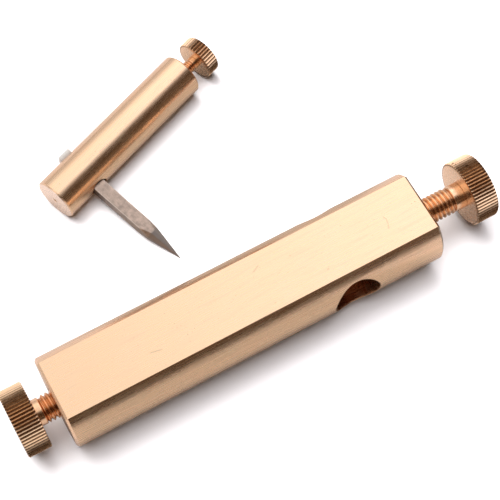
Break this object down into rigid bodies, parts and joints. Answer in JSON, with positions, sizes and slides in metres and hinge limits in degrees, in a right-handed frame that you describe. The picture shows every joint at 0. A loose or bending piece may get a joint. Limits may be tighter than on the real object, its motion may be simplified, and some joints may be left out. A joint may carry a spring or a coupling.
{
  "type": "swivel knife",
  "caption": "Brass clamp bar with a flat, a cross hole and knurled end screws, beside the round holder with a square pointed blade that the cross hole takes.",
  "frame": {"origin": "centre of the machined flat on top of the clamp bar", "axes": "+X along the bar towards the clamp screw beside the cross hole, +Z out of the flat, the loose blade holder lies on the +Y side"},
  "size_m": [0.1109, 0.0749, 0.0175],
  "materials": {
    "bar_brass": "fine brushed along the bar, satin",
    "holder_brass": "turned and polished",
    "knurl_brass": "straight knurled rim, satin faces",
    "thread_brass": "cut thread, bright crests",
    "rod_steel": "drawn rod",
    "tool_steel": "ground tool steel, dull"
  },
  "bodies": {
    "bar": {"handle_bar": "bar_brass"},
    "clamp_pad": {"clamp_screw_pad": "bar_brass"},
    "clamp_screw": {"clamp_screw_stud": "thread_brass", "clamp_screw_head": "knurl_brass"},
    "end_pad": {"end_screw_pad": "bar_brass"},
    "end_screw": {"end_screw_stud": "thread_brass", "end_screw_head": "knurl_brass"},
    "holder": {"blade_holder": "holder_brass"},
    "cutter": {"blade": "tool_steel"},
    "rod": {"push_rod": "rod_steel"},
    "holder_screw": {"holder_screw_stud": "thread_brass", "holder_screw_head": "knurl_brass"}
  },
  "joints": [
    {"name": "clamp_screw_travel", "type": "slide", "parent": "bar", "child": "clamp_pad", "axis": [1, 0, 0], "range_m": [-0.0075, 0.008]},
    {"name": "clamp_screw_turn", "type": "hinge", "parent": "clamp_pad", "child": "clamp_screw", "pos_m": [0.043, 0, -0.0075], "axis": [1, 0, 0], "range_deg": [-2700.1, 2880.1]},
    {"name": "end_screw_travel", "type": "slide", "parent": "bar", "child": "end_pad", "axis": [-1, 0, 0], "range_m": [-0.0025, 0.008]},
    {"name": "end_screw_turn", "type": "hinge", "parent": "end_pad", "child": "end_screw", "pos_m": [-0.043, 0, -0.0075], "axis": [-1, 0, 0], "range_deg": [-900.1, 2880.1]},
    {"name": "holder_lift", "type": "slide", "parent": "bar", "child": "holder", "axis": [0, 0, 1], "range_m": [0, 0.04]},
    {"name": "blade_slide", "type": "slide", "parent": "holder", "child": "cutter", "axis": [0.3468, -0.9225, -0.1694], "range_m": [-0.013, 0]},
    {"name": "holder_screw_travel", "type": "slide", "parent": "holder", "child": "rod", "axis": [0.9361, 0.3518, 0], "range_m": [0, 0.005]},
    {"name": "holder_screw_turn", "type": "hinge", "parent": "rod", "child": "holder_screw", "pos_m": [0.01651, 0.05808, -0.0125], "axis": [0.9361, 0.3518, 0], "range_deg": [0, 3600.1]}
  ],
  "couplings": [
    {"joint": "clamp_screw_turn", "follows": "clamp_screw_travel", "rad_per_m": 6283.2},
    {"joint": "end_screw_turn", "follows": "end_screw_travel", "rad_per_m": 6283.2},
    {"joint": "holder_screw_turn", "follows": "holder_screw_travel", "rad_per_m": 12566}
  ]
}
